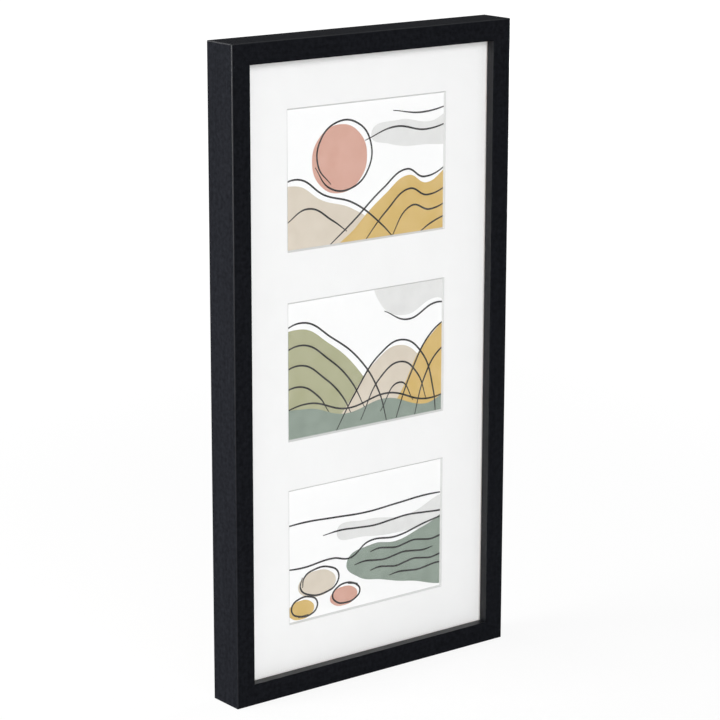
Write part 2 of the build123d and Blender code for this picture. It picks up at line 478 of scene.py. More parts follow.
@dataclass(frozen=True)
class PrintedInk:
    """A flat printed colour, with the slight mottle of ink on paper."""

    ink: Ink
    mottle: float = 0.06
    depth: float = 0.008 * MM
    fibres: Speckle = Speckle(2400.0)
    clouds: Speckle = Speckle(90.0)

    def make(self) -> bpy.types.Material:
        """Lays out the material's nodes.

        Returns:
            The material.
        """
        recipe = Recipe(f"ink_{self.ink.name.lower()}")
        place = recipe.place()
        fibres = recipe.noise(place, self.fibres)
        clouds = recipe.noise(place, self.clouds)
        *hue, solid = self.ink.value
        thin = (*(share + (1 - share) * self.mottle for share in hue), solid)
        full = (*(share * (1 - self.mottle) for share in hue), solid)
        return recipe.finish(
            Base_Color=recipe.tones(fibres * 0.45 + clouds * 0.55, thin, full),
            Roughness=0.55 + fibres * 0.15,
            Specular_IOR_Level=0.2,
            Normal=recipe.relief(fibres, self.depth, strength=0.4),
        )


@dataclass(frozen=True)
class PaneGlass:
    """Clear low-glare glass that lets the lamps through to what is behind it."""

    index: float = 1.14
    tint: Colour = (0.995, 1.0, 0.998, 1.0)
    haze: float = 0.02
    wipes: Speckle = Speckle(22.0)

    def make(self) -> bpy.types.Material:
        """Lays out the material's nodes.

        Returns:
            The material.
        """
        recipe = Recipe("pane_glass")
        wipes = recipe.ease(recipe.noise(recipe.place(), self.wipes), 0.35, 0.9)
        clear = {"Base Color": self.tint, "IOR": self.index, "Transmission Weight": 1.0}
        glass = recipe.node("ShaderNodeBsdfPrincipled", sockets=clear | {"Roughness": wipes * self.haze})
        through = recipe.node("ShaderNodeBsdfTransparent")
        return recipe.surface(recipe.either(recipe.rays("Shadow", "Diffuse"), glass, through))


@dataclass(frozen=True)
class Steel:
    """Thin steel, plated or bare, with tumbling marks and a faint tarnish."""

    name: str
    bright: Colour
    dull: Colour
    gloss: float
    run: Triple = (1.0, 1.0, 0.25)
    depth: float = 0.012 * MM
    marks: Speckle = Speckle(2200.0, 4.0, 0.65)
    tarnish: Speckle = Speckle(320.0, 3.0, 0.6)

    def make(self) -> bpy.types.Material:
        """Lays out the material's nodes.

        Returns:
            The material.
        """
        recipe = Recipe(self.name)
        place = recipe.place()
        marks = recipe.noise(recipe.stretch(place, self.run), self.marks)
        tarnish = recipe.noise(place, self.tarnish)
        return recipe.finish(
            Base_Color=recipe.mix(recipe.ease(tarnish, 0.35, 0.75), self.bright, self.dull),
            Metallic=1.0,
            Roughness=self.gloss + marks * 0.16 + tarnish * 0.08,
            Normal=recipe.relief(marks, self.depth, strength=0.5),
        )


PLATED = Steel("plated_steel", srgb(180, 179, 174), srgb(138, 137, 133), gloss=0.22)
NAIL = Steel("nail_steel", srgb(132, 132, 134), srgb(98, 94, 90), gloss=0.36)


@dataclass(frozen=True)
class Fibreboard:
    """Brown pressed board, smooth on its face, with flecks of fibre."""

    dark: Colour = srgb(120, 86, 56)
    light: Colour = srgb(166, 128, 90)
    fleck: Colour = srgb(196, 164, 124)
    run: Triple = (1.0, 1.0, 0.35)
    depth: float = 0.03 * MM
    fibres: Speckle = Speckle(1500.0, 5.0, 0.7)
    clouds: Speckle = Speckle(60.0)
    strands: Speckle = Speckle(520.0, 4.0, 0.8)

    def make(self) -> bpy.types.Material:
        """Lays out the material's nodes.

        Returns:
            The material.
        """
        recipe = Recipe("fibreboard")
        place = recipe.place()
        fibres = recipe.noise(place, self.fibres)
        clouds = recipe.noise(place, self.clouds)
        strands = recipe.noise(recipe.stretch(place, self.run), self.strands)
        board = recipe.tones(fibres * 0.8 + clouds * 0.2, self.dark, self.light)
        return recipe.finish(
            Base_Color=recipe.mix(recipe.ease(strands, 0.60, 0.72) * 0.6, board, self.fleck),
            Roughness=0.62 + fibres * 0.2,
            Specular_IOR_Level=0.3,
            Normal=recipe.relief(fibres, self.depth, strength=0.6),
        )


@dataclass(frozen=True)
class GummedTape:
    """Cream paper tape."""

    dark: Colour = srgb(206, 194, 166)
    light: Colour = srgb(226, 216, 190)
    run: Triple = (0.15, 1.0, 1.0)
    depth: float = 0.03 * MM
    crepe: Speckle = Speckle(1400.0)

    def make(self) -> bpy.types.Material:
        """Lays out the material's nodes.

        Returns:
            The material.
        """
        recipe = Recipe("gummed_tape")
        crepe = recipe.noise(recipe.stretch(recipe.place(), self.run), self.crepe)
        return recipe.finish(
            Base_Color=recipe.tones(crepe, self.dark, self.light),
            Roughness=0.75 + crepe * 0.15,
            Specular_IOR_Level=0.3,
            Normal=recipe.relief(crepe, self.depth, strength=0.6),
        )


@dataclass(frozen=True)
class WhiteFloor:
    """White floor: bright to the eye and in reflections, and still darkened by the object's shadow.

    Its glow has a share in what is seen near the object, and is all of it further away.
    """

    paint: Colour = (0.45, 0.45, 0.45, 1.0)
    share: float = 0.82
    glow: float = 1.10
    near: float = 0.5
    far: float = 2.0

    def make(self) -> bpy.types.Material:
        """Lays out the material's nodes.

        Returns:
            The material.
        """
        recipe = Recipe("white_floor")
        matt = recipe.node("ShaderNodeBsdfDiffuse", sockets={"Color": self.paint})
        white = recipe.node("ShaderNodeEmission", sockets={"Strength": self.glow})
        across, depth, _ = recipe.axes(recipe.place())
        away = recipe.ease(abs(across).most(abs(depth)), self.near, self.far)
        share = self.share + away * (1 - self.share)
        return recipe.surface(recipe.either(recipe.seen() * share, matt, white))


@contextmanager
def editing(piece: Piece) -> Iterator[None]:
    """Opens a piece in edit mode, with nothing of it selected.

    Args:
        piece: The object to shape.

    Returns:
        Nothing, for the length of the with block.
    """
    Bench.pick(piece)
    bpy.ops.object.mode_set(mode="EDIT")
    bpy.ops.mesh.select_all(action="DESELECT")
    yield
    bpy.ops.object.mode_set(mode="OBJECT")


class Bench:
    """Modelling by hand, with Blender's operators on one piece at a time."""

    # How near a point counts as on a cut, and how near two points become one.
    CUT_NEAR = 0.0001 * MM
    MERGE_NEAR = 0.0005 * MM
    # The angles, in radians, up to which an edge is shaded smooth and from which it is deburred.
    ROUNDED = math.radians(35)
    SHARP = 0.9

    @staticmethod
    def pick(*pieces: Piece) -> None:
        """Selects pieces alone.

        Args:
            pieces: What is selected. The last one becomes active.
        """
        bpy.ops.object.select_all(action="DESELECT")
        for piece in pieces:
            piece.select_set(True)
        bpy.context.view_layer.objects.active = pieces[-1]

    @staticmethod
    def named(name: str) -> Piece:
        """Names the active piece and its data.

        Args:
            name: What they are called.

        Returns:
            The piece.
        """
        piece = bpy.context.object
        piece.name = piece.data.name = name
        return piece

    @staticmethod
    def add(name: str, operator: Callable[..., Any], **settings: Any) -> Piece:
        """Adds a primitive, alone in the selection.

        Args:
            name: What the piece is called.
            operator: The operator that adds it.
            settings: Its size and place.

        Returns:
            The new piece.
        """
        bpy.ops.object.select_all(action="DESELECT")
        operator(**settings)
        return Bench.named(name)

    @staticmethod
    def settle(piece: Piece) -> None:
        """Puts a piece's place, turn and scale into its mesh."""
        Bench.pick(piece)
        bpy.ops.object.transform_apply(location=True, rotation=True, scale=True)

    @staticmethod
    def block(name: str, low: Vector, high: Vector) -> Piece:
        """Adds a block.

        Args:
            name: What the piece is called.
            low: Its lowest corner.
            high: Its highest corner.

        Returns:
            The block.
        """
        piece = Bench.add(name, bpy.ops.mesh.primitive_cube_add, size=1.0, location=(low + high) / 2)
        piece.scale = high - low
        Bench.settle(piece)
        return piece

    @staticmethod
    def copy(piece: Piece, name: str) -> Piece:
        """Copies a piece with a mesh of its own.

        Args:
            piece: What is copied.
            name: What the copy is called.

        Returns:
            The copy.
        """
        Bench.pick(piece)
        bpy.ops.object.duplicate()
        return Bench.named(name)

    @staticmethod
    def turn(piece: Piece, angle: float, place: Vector) -> None:
        """Turns a piece about the Y axis, then moves it.

        Args:
            piece: A piece that was modelled about the origin.
            angle: How far it turns, in degrees.
            place: Where its origin goes.
        """
        piece.rotation_euler = (0.0, math.radians(angle), 0.0)
        piece.location = place
        Bench.settle(piece)

    @staticmethod
    def join(name: str, pieces: Sequence[Piece]) -> Piece:
        """Joins pieces into one object.

        Args:
            name: What the whole is called.
            pieces: What is joined.

        Returns:
            The whole.
        """
        Bench.pick(*pieces)
        bpy.ops.object.join()
        return Bench.named(name)

    @staticmethod
    def select(piece: Piece, part: Part, test: Callable[[Any], bool]) -> None:
        """Selects, in edit mode, what passes a test.

        Args:
            piece: The object in edit mode.
            part: Whether its vertices, edges or faces are tested.
            test: Takes one of them and says whether it is selected.
        """
        bpy.ops.mesh.select_mode(type=part.value)
        bpy.ops.mesh.select_all(action="DESELECT")
        mesh = bmesh.from_edit_mesh(piece.data)
        for item in {Part.VERTS: mesh.verts, Part.EDGES: mesh.edges, Part.FACES: mesh.faces}[part]:
            if test(item):
                item.select_set(True)
        mesh.select_flush_mode()
        bmesh.update_edit_mesh(piece.data)

    @staticmethod
    def extrude(by: Vector) -> None:
        """Extrudes what is selected."""
        bpy.ops.mesh.extrude_region_move(TRANSFORM_OT_translate={"value": by})

    @staticmethod
    def cut(place: Vector, keep: Vector) -> None:
        """Cuts all of the open piece by a plane, and closes the cut.

        Args:
            place: A point of the plane.
            keep: Points square from the plane to the side that stays.
        """
        bpy.ops.mesh.select_all(action="SELECT")
        plane = {"plane_co": place, "plane_no": keep.normalized(), "threshold": Bench.CUT_NEAR}
        bpy.ops.mesh.bisect(**plane, use_fill=True, clear_inner=True)

    @staticmethod
    def bore(piece: Piece, cutter: Piece) -> None:
        """Takes a cutter's shape out of a piece and throws the cutter away."""
        Bench.modify(piece, "BOOLEAN", operation="DIFFERENCE", solver="EXACT", object=cutter)
        bpy.data.objects.remove(cutter)

    @staticmethod
    def modify(piece: Piece, kind: str, **settings: Any) -> None:
        """Adds a modifier and applies it.

        Args:
            piece: The object that it shapes.
            kind: The modifier's type.
            settings: Its properties.
        """
        Bench.pick(piece)
        bpy.ops.object.modifier_add(type=kind)
        modifier = piece.modifiers[-1]
        for name, setting in settings.items():
            setattr(modifier, name, setting)
        bpy.ops.object.modifier_apply(modifier=modifier.name)

    @staticmethod
    def thicken(piece: Piece, thickness: float) -> None:
        """Gives a sheet its thickness, half to each side."""
        Bench.modify(piece, "SOLIDIFY", thickness=thickness, offset=0.0)

    @staticmethod
    def deburr(piece: Piece, width: float) -> None:
        """Rounds all sharp edges, then cleans the piece."""
        Bench.modify(piece, "BEVEL", width=width, segments=2, limit_method="ANGLE", angle_limit=Bench.SHARP)
        Bench.clean(piece)

    @staticmethod
    def clean(piece: Piece) -> None:
        """Merges doubles and points the faces outwards.

        Args:
            piece: A closed piece, or a sheet before it is thickened.
        """
        with editing(piece):
            bpy.ops.mesh.select_all(action="SELECT")
            bpy.ops.mesh.remove_doubles(threshold=Bench.MERGE_NEAR)
            bpy.ops.mesh.normals_make_consistent(inside=False)

    @staticmethod
    def smooth(piece: Piece) -> None:
        """Shades rounded edges smooth and keeps flat faces flat.

        Args:
            piece: The finished piece.
        """
        Bench.pick(piece)
        bpy.ops.object.shade_smooth_by_angle(angle=Bench.ROUNDED)
        Bench.modify(piece, "WEIGHTED_NORMAL", keep_sharp=True, weight=100)

    @staticmethod
    def lathe(name: str, steps: Outline, sides: int) -> Piece:
        """Turns a piece about the Y axis, by extruding a disc from step to step.

        Args:
            name: What the piece is called.
            steps: A radius and a depth for each ring, from the front.
            sides: How many sides it has.

        Returns:
            The closed piece.
        """
        radius, depth = steps[0]
        disc = {"vertices": sides, "radius": radius, "fill_type": "NGON"}
        disc |= {"location": (0.0, depth, 0.0), "rotation": STOOD_UP}
        piece = Bench.add(name, bpy.ops.mesh.primitive_circle_add, **disc)
        Bench.settle(piece)
        with editing(piece):
            bpy.ops.mesh.select_all(action="SELECT")
            for next_radius, next_depth in steps[1:]:
                Bench.extrude(Vector((0.0, next_depth - depth, 0.0)))
                share = next_radius / radius
                bpy.ops.transform.resize(value=(share, 1.0, share), center_override=(0.0, next_depth, 0.0))
                radius, depth = next_radius, next_depth
        Bench.clean(piece)
        return piece


def dress(piece: Piece, finish: Finish) -> None:
    """Gives a piece its material."""
    piece.data.materials.clear()
    piece.data.materials.append(made(finish))


def dress_node(node: str, finish: Finish) -> None:
    """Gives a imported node's object its material.

    Args:
        node: The node's name.
        finish: What dresses it.
    """
    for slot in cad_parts[node].material_slots:
        slot.material = made(finish)
    log.info("dressed %s", node)


def seat(piece: Piece, body: str, slot: str, *nodes: str) -> None:
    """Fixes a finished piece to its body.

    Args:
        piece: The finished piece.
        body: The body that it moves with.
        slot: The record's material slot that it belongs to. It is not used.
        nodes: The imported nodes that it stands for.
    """
    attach(piece, body)
    if nodes:
        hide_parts(*nodes)
    log.info("made %s with %d faces, on %s", piece.name, len(piece.data.polygons), body)


def seat_metal(piece: Piece, body: str, node: str) -> None:
    """Shades, dresses and seats a piece of plated steel.

    Args:
        piece: The modelled piece.
        body: The body that it moves with.
        node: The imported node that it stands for.
    """
    Bench.smooth(piece)
    dress(piece, PLATED)
    seat(piece, body, "plated_steel", node)


@dataclass(frozen=True)
class Sizes:
    """Sizes that the pieces share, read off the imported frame.

    The face is the moulding's width in front, and the wall its width behind the lip. The floor of the groove
    is measured from the outer side too, and all that is called front, rear or back is a depth.
    """

    half_width: float
    height: float
    front: float
    rear: float
    face: float
    wall: float
    lip_back: float
    groove_floor: float
    groove_front: float
    groove_back: float

    @classmethod
    def measured(
        cls,
        pane_play: float = 1.0 * MM,
        end_play: float = 1.0 * MM,
        side_play: float = 0.3 * MM,
    ) -> Sizes:
        """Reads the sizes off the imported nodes' boxes.

        Args:
            pane_play: Room between the pane and the rebate's wall.
            end_play: Room between a clip's tip and the floor of the groove.
            side_play: Room between a clip's faces and the sides of the groove.

        Returns:
            The sizes.
        """
        low, high = CAD_BOX
        bar_low, bar_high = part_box("moulding_left")
        pane_low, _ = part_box("glass_pane")
        clip_low, clip_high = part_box("turn_clip_left_upper")
        return cls(
            half_width=high.x,
            height=high.z,
            front=low.y,
            rear=high.y,
            face=bar_high.x - bar_low.x,
            wall=pane_low.x - pane_play - low.x,
            lip_back=pane_low.y,
            groove_floor=clip_low.x - end_play - low.x,
            groove_front=clip_low.y - side_play,
            groove_back=clip_high.y + side_play,
        )


@dataclass
class MouldingSet:
    """Four mitred lengths of moulding, rebated for the pane and grooved for the clips."""

    sizes: Sizes
    front_round: float = 1.0 * MM
    front_steps: int = 5
    edge_round: float = 0.35 * MM
    edge_steps: int = 2
    corner_break: float = 0.5 * MM
    mitre_break: float = 0.14 * MM
    pocket_from: float = 3.1 * MM
    pocket_width: float = 0.8 * MM
    pocket_reach: float = 9.6 * MM
    pocket_depth: float = 20.7 * MM
    pocket_overrun: float = 1.0 * MM
    upright_wear: float = 0.6
    level_wear: float = 0.3

    def model(self, name: str, reach: float, length: float) -> Piece:
        """Models one length on the left of the origin, running up.

        Args:
            name: What the length is called.
            reach: How far the outer face lies from the origin.
            length: The length along the outer face.

        Returns:
            The length, mitred, with its edges rounded.
        """
        sizes = self.sizes
        half = length / 2
        low = Vector((-reach, sizes.front, -half - sizes.face))
        bar = Bench.block(name, low, Vector((sizes.wall - reach, sizes.rear, half + sizes.face)))
        with editing(bar):
            self.section(bar, reach)
            self.mitre(bar, reach, half)
        for end in (-1, 1):
            Bench.bore(bar, self.pocket(reach, half, end))
        Bench.clean(bar)
        return bar

    def section(self, bar: Piece, reach: float) -> None:
        """Gives the open bar its lip and its groove, and rounds its long edges.

        Args:
            bar: A plain bar, as wide as the moulding is behind the lip.
            reach: How far the outer face lies from the origin.
        """
        sizes = self.sizes
        for depth in (sizes.lip_back, sizes.groove_front, sizes.groove_back):
            Bench.select(bar, Part.FACES, self.is_inner)
            bpy.ops.mesh.bisect(plane_co=(0.0, depth, 0.0), plane_no=(0.0, 1.0, 0.0))
        self.push(bar, sizes.front, sizes.lip_back, sizes.face - sizes.wall)
        self.push(bar, sizes.groove_front, sizes.groove_back, sizes.groove_floor - sizes.wall)
        outer = -reach
        wall = sizes.wall - reach
        sight = sizes.face - reach
        front_edges = ((outer, sizes.front), (sight, sizes.front))
        rear_edges = ((outer, sizes.rear), (wall, sizes.rear), (sight, sizes.lip_back))
        self.round(bar, front_edges, self.front_round, self.front_steps)
        self.round(bar, rear_edges, self.edge_round, self.edge_steps)

    def mitre(self, bar: Piece, reach: float, half: float) -> None:
        """Mitres the open bar's ends, and breaks their edges and outer corners.

        Args:
            bar: The bar with its section.
            reach: How far the outer face lies from the origin.
            half: Half the length along the outer face.
        """
        for end in (-1, 1):
            Bench.cut(Vector((-reach, 0.0, end * half)), Vector((-1.0, 0.0, -end)))
            Bench.cut(Vector((-reach, 0.0, end * (half - self.corner_break))), Vector((1.0, 0.0, -end)))
        Bench.select(bar, Part.EDGES, lambda edge: any(map(self.is_mitre, edge.link_faces)))
        bpy.ops.mesh.bevel(offset=self.mitre_break, segments=1, clamp_overlap=True)

    @staticmethod
    def is_inner(face: bmesh.types.BMFace) -> bool:
        """Whether a face looks squarely inward."""
        return face.normal.x > 0.9

    @staticmethod
    def is_mitre(face: bmesh.types.BMFace) -> bool:
        """Whether a face is one of the mitre cuts, which look inward and along the length."""
        return face.normal.x > 0.6 and abs(face.normal.z) > 0.6

    def push(self, bar: Piece, first: float, last: float, by: float) -> None:
        """Extrudes the part of the inner side that lies between two depths.

        Args:
            bar: The open bar.
            first: The depth nearer to the front.
            last: The depth nearer to the rear.
            by: How far that part goes inward, or outward where it is negative.
        """
        def within(face: bmesh.types.BMFace) -> bool:
            """Whether a face of the inner side lies there."""
            return self.is_inner(face) and first < face.calc_center_median().y < last

        Bench.select(bar, Part.FACES, within)
        Bench.extrude(Vector((by, 0.0, 0.0)))

    @staticmethod
    def round(bar: Piece, corners: Outline, radius: float, steps: int) -> None:
        """Rounds the long edges that stand on some corners of the section.

        Args:
            bar: The open bar.
            corners: Where those corners lie, across and in depth.
            radius: The radius of the round.
            steps: How many faces it has.
        """
        near = 0.01 * MM

        def chosen(edge: bmesh.types.BMEdge) -> bool:
            """Whether an edge runs along the bar on one of the corners.

            Args:
                edge: One edge of the bar.

            Returns:
                True if it does.
            """
            first, last = (vert.co for vert in edge.verts)
            spans = abs(first.z - last.z) > radius
            return spans and any(abs(first.x - x) < near and abs(first.y - y) < near for x, y in corners)

        Bench.select(bar, Part.EDGES, chosen)
        bpy.ops.mesh.bevel(offset=radius, segments=steps, profile=0.5, clamp_overlap=True)

    def pocket(self, reach: float, half: float, end: int) -> Piece:
        """Models what a V-nail's leg takes out of one end of a length.

        Args:
            reach: How far the outer face lies from the origin.
            half: Half the length along the outer face.
            end: -1 for the lower end and 1 for the upper one.

        Returns:
            The cutter.
        """
        bottom, top = sorted((end * half, end * (half - self.pocket_reach)))
        outer = self.pocket_from - reach
        rear = self.sizes.rear
        low = Vector((outer, rear - self.pocket_depth, bottom))
        high = Vector((outer + self.pocket_width, rear + self.pocket_overrun, top))
        return Bench.block("pocket", low, high)

    def pair(self, turns: dict[str, float], reach: float, length: float, finish: BlackWood) -> None:
        """Models a length once, copies it, and turns each of the two to its side.

        Args:
            turns: How far each side's length is turned, in degrees.
            reach: How far the outer face lies from the frame's middle.
            length: The length along the outer face.
            finish: What dresses both.
        """
        middle = Vector((0.0, 0.0, self.sizes.height / 2))
        first, last = (f"wood_{side}" for side in turns)
        bar = self.model(first, reach, length)
        for piece, (side, angle) in zip((bar, Bench.copy(bar, last)), turns.items()):
            Bench.turn(piece, angle, middle)
            Bench.smooth(piece)
            dress(piece, finish)
            seat(piece, BODY, "black_wood", f"moulding_{side}")

    def build(self) -> None:
        """Models the two uprights and the two level lengths."""
        sizes = self.sizes
        upright = BlackWood(Grain.UPRIGHT, sizes, self.upright_wear)
        level = BlackWood(Grain.LEVEL, sizes, self.level_wear)
        self.pair({"left": 0.0, "right": 180.0}, sizes.half_width, sizes.height, upright)
        self.pair({"bottom": -90.0, "top": 90.0}, sizes.height / 2, 2 * sizes.half_width, level)


@dataclass
class Glazing:
    """The glass and the mat behind the lip."""

    pane_gap: float = 0.05 * MM
    arris: float = 0.3 * MM

    def build(self) -> None:
        """Models the glass just clear of the lip and the mat, and dresses the mat."""
        low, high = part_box("glass_pane")
        gap = Vector((0.0, self.pane_gap, 0.0))
        pane = Bench.block("glass_sheet", low + gap, high - gap)
        with editing(pane):
            bpy.ops.mesh.select_all(action="SELECT")
            bpy.ops.mesh.bevel(offset=self.arris, segments=1)
        Bench.clean(pane)
        dress(pane, PaneGlass())
        seat(pane, BODY, "clear_glass", "glass_pane")
        dress_node("mat_board", MatCard())


@dataclass(frozen=True)
class Patch:
    """A field of one colour in a print, in millimetres from the middle of its window."""

    ink: Ink
    outline: Outline


@dataclass(frozen=True)
class Design:
    """One print: fields of colour, laid one over the other, and pen strokes over them."""

    patches: Sequence[Patch]
    strokes: Sequence[Outline]


def loop(
    middle: tuple[float, float],
    across: float,
    up: float,
    start: float = 0.0,
    steps: int = 10,
    drift: float = 0.13,
) -> Outline:
    """Points along a loop of the pen, whose end runs past its start, a little inside it.

    Args:
        middle: Its centre.
        across: Half its width.
        up: Half its height.
        start: Where it starts, in degrees from its right.
        steps: How many eighths of a turn it has.
        drift: How far it has drawn in by its end, as a share of its size.

    Returns:
        The points, one for each eighth of a turn.
    """
    points = []
    for step in range(steps):
        angle = math.radians(start) + math.tau * step / 8
        share = 1 - drift * step / steps
        aside = across * share * math.cos(angle)
        above = up * share * math.sin(angle)
        points.append((middle[0] + aside, middle[1] + above))
    return points


def oval(middle: tuple[float, float], across: float, up: float) -> Outline:
    """Points round an oval, half as wide as across and half as high as up, one for each eighth of a turn."""
    return loop(middle, across, up, steps=8, drift=0.0)


def ripple(left: float, right: float, level: float, swell: float, waves: float) -> Outline:
    """Points along a wavy stroke.

    Args:
        left: Where it starts.
        right: Where it ends.
        level: How high its middle lies.
        swell: How far it rises and falls.
        waves: How many waves it has.

    Returns:
        The points, four to a wave.
    """
    steps = max(3, round(4 * waves))
    shares = [step / steps for step in range(steps + 1)]
    return [(left + (right - left) * t, level + swell * math.sin(math.tau * waves * t)) for t in shares]


SUNRISE = Design(
    patches=(
        Patch(Ink.ROSE, oval((-27, 12), 27, 27)),
        Patch(Ink.MIST, ((4, 28), (32, 37), (64, 33), (95, 40), (95, 20), (56, 15), (22, 19))),
        Patch(Ink.SAND, ((-95, -70), (-95, -12), (-70, -5), (-44, -19), (-16, -28), (12, -48), (22, -70))),
        Patch(Ink.OCHRE, ((-34, -70), (-10, -43), (18, -21), (42, -8), (60, -16), (95, -3), (95, -70))),
    ),
    strokes=(
        loop((-23, 15), 29, 29, 195),
        ((-95, -8), (-68, 0), (-42, -15), (-14, -24), (14, -44), (30, -60)),
        ((-44, -60), (-14, -39), (16, -16), (40, -3), (58, -11), (95, 4)),
        ((-6, -60), (20, -34), (43, -19), (61, -26), (95, -14)),
        ((22, -60), (45, -33), (64, -38), (95, -27)),
        ((46, -60), (66, -49), (95, -41)),
        ((-80, -34), (-58, -24), (-34, -36), (-20, -46)),
        ((-2, 24), (28, 32), (60, 27), (95, 34)),
        ((26, 45), (56, 41), (95, 47)),
    ),
)
HILLS = Design(
    patches=(
        Patch(Ink.MIST, ((10, 70), (16, 40), (40, 30), (70, 40), (95, 34), (95, 70))),
        Patch(Ink.SAGE, ((-95, -70), (-95, 22), (-66, 33), (-38, 18), (-12, -4), (8, -34), (16, -70))),
        Patch(Ink.SAND, ((-36, -70), (-15, -30), (9, -4), (33, 6), (56, -8), (72, -40), (75, -70))),
        Patch(Ink.OCHRE, ((24, -70), (41, -24), (63, 7), (95, 20), (95, -70))),
        Patch(
            Ink.SLATE,
            ((-95, -70), (-95, -38), (-60, -32), (-22, -42), (20, -36), (60, -47), (95, -42), (95, -70)),
        ),
    ),
    strokes=(
        ((-95, 27), (-64, 38), (-35, 22), (-8, 1), (12, -28), (22, -60)),
        ((-95, 10), (-64, 20), (-38, 5), (-16, -16), (-2, -40)),
        ((-95, -6), (-66, 4), (-42, -10), (-24, -28), (-16, -42)),
        ((-95, -22), (-68, -13), (-48, -24), (-38, -38)),
        ((-34, -60), (-11, -26), (13, 1), (36, 10), (57, -4), (69, -36), (72, -60)),
        ((-6, -50), (14, -18), (35, -8), (52, -20), (62, -44)),
        ((14, -46), (34, -25), (48, -42)),
        ((28, -60), (45, -20), (67, 12), (95, 26)),
        ((48, -60), (60, -24), (74, -5), (95, 4)),
        ((-95, -35), (-58, -28), (-20, -38), (22, -32), (62, -43), (95, -38)),
        ((18, 36), (42, 26), (72, 36), (95, 30)),
    ),
)
SHORE = Design(
    patches=(
        Patch(Ink.MIST, ((-30, 12), (0, 17), (40, 13), (95, 20), (95, 4), (40, 0), (0, 3))),
        Patch(
            Ink.SLATE,
            ((95, 6), (60, 0), (32, -7), (6, -5), (-20, -16), (-8, -30), (16, -37), (44, -44), (95, -47)),
        ),
        Patch(Ink.SAND, oval((-50, -27), 19, 11)),
        Patch(Ink.ROSE, oval((-23, -43), 14, 8)),
        Patch(Ink.OCHRE, oval((-66, -46), 13, 8)),
    ),
    strokes=(
        ripple(-95, 95, 25, 1.6, 1.5),
        ripple(-44, 95, 12, 1.2, 2.0),
        ripple(4, 95, -11, 1.3, 2.5),
        ripple(-12, 70, -19, 1.2, 2.0),
        ripple(4, 95, -27, 1.3, 2.5),
        ripple(24, 84, -35, 1.0, 1.5),
        loop((-47, -25), 20.5, 12, 150),
        loop((-20, -41), 15, 8.7, 40),
        loop((-63, -44), 14, 8.7, 245),
        ((-95, -8), (-66, -11), (-34, -9), (-16, -12), (2, -2), (32, -3), (62, 3), (95, 8)),
    ),
)


@dataclass
class PrintSet:
    """Three prints behind the mat's windows, with their inks on the paper."""

    designs: Sequence[tuple[str, Design]] = (("top", SUNRISE), ("middle", HILLS), ("bottom", SHORE))
    clear_width: float = 155.0 * MM
    clear_height: float = 109.0 * MM
    layer: float = 0.02 * MM
    pen: float = 0.75 * MM
    pen_flat: float = 0.035
    pen_taper: float = 0.45
    pen_steps: int = 2
    smoothness: int = 10

    def curve(self, name: str, outline: Outline, closed: bool) -> Piece:
        """Adds a smooth curve through points, lying flat in its own X and Y.

        Args:
            name: What it is called.
            outline: The points, in millimetres.
            closed: Whether it comes back to its start.

        Returns:
            The curve.
        """
        curves = bpy.ops.curve
        shape = curves.primitive_bezier_circle_add if closed else curves.primitive_bezier_curve_add
        piece = Bench.add(name, shape)
        piece.data.dimensions = "2D" if closed else "3D"
        piece.data.resolution_u = self.smoothness
        points = piece.data.splines[0].bezier_points
        points.add(len(outline) - len(points))
        last = len(outline) - 1
        for step, (point, (across, up)) in enumerate(zip(points, outline)):
            point.co = (across * MM, up * MM, 0.0)
            point.handle_left_type = point.handle_right_type = "AUTO"
            point.radius = 1.0 if 0 < step < last else self.pen_taper
        return piece

    def lay(self, piece: Piece, place: Vector, flat: float, ink: Ink) -> None:
        """Makes a curve a mesh, flattens it, lays it on the paper, cuts it to the clear window and inks it.

        Args:
            piece: The curve, in its own X and Y.
            place: The middle of the window, at the depth that it lies at.
            flat: How far its thickness is flattened.
            ink: What it is printed in.
        """
        Bench.pick(piece)
        bpy.ops.object.convert(target="MESH")
        piece.scale = (1.0, 1.0, flat)
        piece.rotation_euler = STOOD_UP
        piece.location = place
        Bench.settle(piece)
        Bench.clean(piece)
        corner = Vector((self.clear_width / 2, 0.0, self.clear_height / 2))
        with editing(piece):
            for keep in (Vector((1.0, 0.0, 0.0)), Vector((0.0, 0.0, 1.0))):
                Bench.cut(place - corner, keep)
                Bench.cut(place + corner, -keep)
        dress(piece, PrintedInk(ink))

    def fill(self, patch: Patch, place: Vector) -> Piece:
        """Lays one field of colour.

        Args:
            patch: Its ink and its outline.
            place: The middle of the window, at the depth that it lies at.

        Returns:
            The field.
        """
        piece = self.curve("field", patch.outline, closed=True)
        piece.data.fill_mode = "BOTH"
        piece.data.extrude = self.layer / 4
        self.lay(piece, place, 1.0, patch.ink)
        return piece

    def stroke(self, outline: Outline, place: Vector) -> Piece:
        """Lays one stroke of the pen.

        Args:
            outline: The points that it runs through.
            place: The middle of the window, at the depth that it lies at.

        Returns:
            The stroke.
        """
        piece = self.curve("stroke", outline, closed=False)
        piece.data.bevel_depth = self.pen
        piece.data.bevel_resolution = self.pen_steps
        piece.data.use_fill_caps = True
        self.lay(piece, place, self.pen_flat, Ink.BLACK)
        return piece

    def build(self) -> None:
        """Dresses the papers and the tape, and lays each design's fields and strokes on its paper."""
        for name, design in self.designs:
            node = f"photo_print_{name}"
            dress_node(node, PrintPaper())
            low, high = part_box(node)
            paper = (low + high) / 2
            paper.y = low.y
            fields = []
            for level, patch in enumerate(design.patches, start=1):
                fields.append(self.fill(patch, paper + FRONT * self.layer * level))
            over = paper + FRONT * self.layer * (len(fields) + 2)
            lines = [self.stroke(outline, over) for outline in design.strokes]
            seat(Bench.join(f"ink_fields_{name}", fields), BODY, "print_paper")
            seat(Bench.join(f"ink_lines_{name}", lines), BODY, "print_paper")
        dress_node("print_tape", GummedTape())


